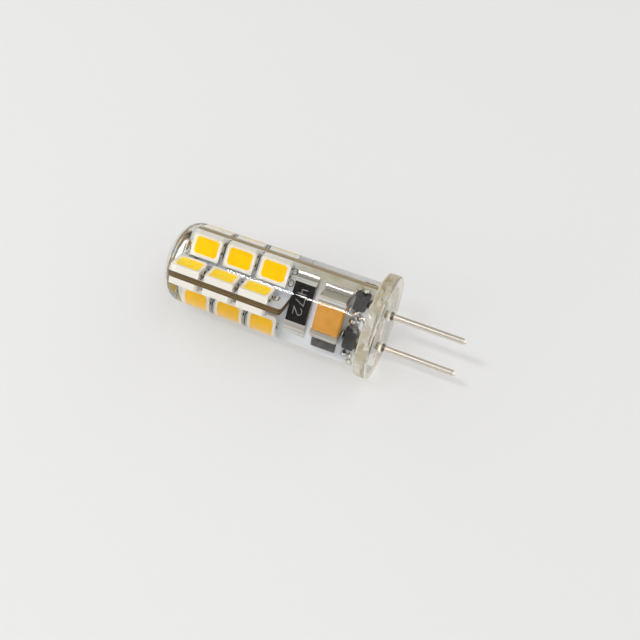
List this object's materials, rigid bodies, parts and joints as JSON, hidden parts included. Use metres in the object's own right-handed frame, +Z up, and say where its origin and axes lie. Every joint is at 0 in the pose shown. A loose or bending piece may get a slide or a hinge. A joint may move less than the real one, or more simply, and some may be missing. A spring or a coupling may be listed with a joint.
{
  "type": "led capsule bulb",
  "caption": "Clear cast-silicone capsule lamp with surface-mount LEDs on a cross of printed boards, a flange and two contact pins.",
  "frame": {"origin": "on the surface that the lamp lies on, under the middle of its overall length and its axis", "axes": "+X along the lamp from its round end to its pins, +Z up, -Y towards the side that shows the resistor and the capacitor; the line through both pins leans 32 degrees from +Z towards +Y"},
  "size_m": [0.0346, 0.0119, 0.0119],
  "materials": {
    "clear_silicone": "clear, smooth and slightly warm",
    "board_laminate": "white solder mask on brown laminate",
    "led_plastic": "white moulded plastic",
    "phosphor_gel": "deep yellow gel",
    "tinned_metal": "matt tin",
    "solder": "bright solder",
    "pin_metal": "bright nickel plate",
    "resistor_ceramic": "black glaze",
    "capacitor_ceramic": "tan ceramic",
    "diode_plastic": "black moulding"
  },
  "bodies": {
    "root": {"capacitor_body": "capacitor_ceramic", "capacitor_caps": "tinned_metal", "chip_solder": "solder", "contact_pin_lower": "pin_metal", "contact_pin_upper": "pin_metal", "cross_board": "board_laminate", "cross_solder": "solder", "diode_feet": "tinned_metal", "diode_front_lower": "diode_plastic", "diode_front_upper": "diode_plastic", "diode_rear_lower": "diode_plastic", "diode_rear_upper": "diode_plastic", "led_case_cross_lower_front_1": "led_plastic", "led_case_cross_lower_front_2": "led_plastic", "led_case_cross_lower_front_3": "led_plastic", "led_case_cross_lower_rear_1": "led_plastic", "led_case_cross_lower_rear_2": "led_plastic", "led_case_cross_lower_rear_3": "led_plastic", "led_case_cross_upper_front_1": "led_plastic", "led_case_cross_upper_front_2": "led_plastic", "led_case_cross_upper_front_3": "led_plastic", "led_case_cross_upper_rear_1": "led_plastic", "led_case_cross_upper_rear_2": "led_plastic", "led_case_cross_upper_rear_3": "led_plastic", "led_case_main_front_lower_1": "led_plastic", "led_case_main_front_lower_2": "led_plastic", "led_case_main_front_lower_3": "led_plastic", "led_case_main_front_upper_1": "led_plastic", "led_case_main_front_upper_2": "led_plastic", "led_case_main_front_upper_3": "led_plastic", "led_case_main_rear_lower_1": "led_plastic", "led_case_main_rear_lower_2": "led_plastic", "led_case_main_rear_lower_3": "led_plastic", "led_case_main_rear_upper_1": "led_plastic", "led_case_main_rear_upper_2": "led_plastic", "led_case_main_rear_upper_3": "led_plastic", "led_feet_cross_lower_front": "tinned_metal", "led_feet_cross_lower_rear": "tinned_metal", "led_feet_cross_upper_front": "tinned_metal", "led_feet_cross_upper_rear": "tinned_metal", "led_feet_main_front_lower": "tinned_metal", "led_feet_main_front_upper": "tinned_metal", "led_feet_main_rear_lower": "tinned_metal", "led_feet_main_rear_upper": "tinned_metal", "led_fill_cross_lower_front": "phosphor_gel", "led_fill_cross_lower_rear": "phosphor_gel", "led_fill_cross_upper_front": "phosphor_gel", "led_fill_cross_upper_rear": "phosphor_gel", "led_fill_main_front_lower": "phosphor_gel", "led_fill_main_front_upper": "phosphor_gel", "led_fill_main_rear_lower": "phosphor_gel", "led_fill_main_rear_upper": "phosphor_gel", "main_board": "board_laminate", "pin_solder": "solder", "resistor_body": "resistor_ceramic", "resistor_caps": "tinned_metal", "silicone_capsule": "clear_silicone"}
  },
  "joints": []
}
